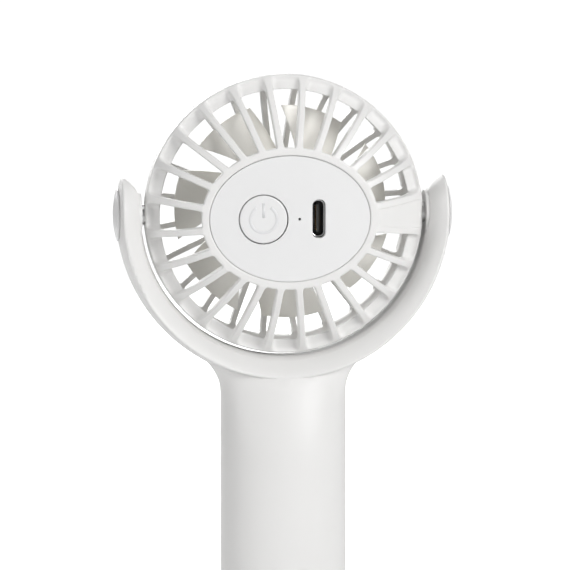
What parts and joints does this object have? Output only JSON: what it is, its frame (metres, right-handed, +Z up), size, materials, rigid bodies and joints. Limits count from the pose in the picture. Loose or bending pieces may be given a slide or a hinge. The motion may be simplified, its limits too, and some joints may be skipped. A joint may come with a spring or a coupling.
{
  "type": "handheld fan",
  "caption": "Handheld electric fan: a round slatted head with an oval control cap tilts in a U-shaped fork on an oval battery handle.",
  "frame": {"origin": "centre of the base pad's underside, on the standing surface", "axes": "+Z up the handle to the head, +X along the tilt axis, +Y out of the air outlet (the control side faces -Y)"},
  "size_m": [0.0826, 0.0295, 0.1899],
  "materials": {
    "white_shell": "fine satin white moulding",
    "cap_white": "smooth satin-gloss white",
    "blade_white": "thin off-white moulding",
    "steel": "bright drawn steel",
    "bronze": "sintered bronze",
    "ferrite": "dark bonded magnet",
    "copper": "enamelled copper wire",
    "board_green": "solder-masked laminate",
    "black_plastic": "moulded black",
    "led_clear": "small diffused lens",
    "cell_wrap": "shrink-wrapped cell",
    "foam": "closed-cell foam",
    "pad_rubber": "pale silicone pad"
  },
  "bodies": {
    "handle_and_fork": {"body_rear_shell": "white_shell", "body_front_shell": "white_shell", "pivot_washer_right": "steel", "pivot_washer_left": "steel", "pivot_cap_right": "cap_white", "pivot_cap_left": "cap_white", "battery_cell": "cell_wrap", "battery_foam": "foam", "battery_board": "board_green", "base_cap": "white_shell", "base_pad": "pad_rubber"},
    "head": {"rear_grille": "white_shell", "front_grille": "white_shell", "control_cap": "cap_white", "tact_switch": "black_plastic", "led_indicator": "led_clear", "usb_c_shell": "steel", "usb_c_insulator": "black_plastic", "control_board": "board_green", "board_chips": "black_plastic", "board_screws": "steel", "motor_can": "steel", "motor_end_bell": "black_plastic", "motor_bushing_rear": "bronze", "motor_bushing_front": "bronze", "motor_magnets": "ferrite", "pivot_pin_right": "steel", "pivot_pin_left": "steel"},
    "button": {"power_button": "cap_white"},
    "fan_wheel": {"motor_shaft": "steel", "rotor_core": "steel", "rotor_coils": "copper", "commutator": "copper", "impeller": "blade_white"}
  },
  "joints": [
    {"name": "head_tilt", "type": "hinge", "parent": "handle_and_fork", "child": "head", "pos_m": [0, 0, 0.156], "axis": [1, 0, 0], "range_deg": [-90, 90]},
    {"name": "fan_spin", "type": "hinge", "parent": "head", "child": "fan_wheel", "pos_m": [0, 0, 0.156], "axis": [0, 1, 0], "continuous": true},
    {"name": "power_press", "type": "slide", "parent": "head", "child": "button", "axis": [0, 1, 0], "range_m": [0, 0.00035], "stiffness_N_per_m": 200, "springref_m": -0.0005}
  ]
}
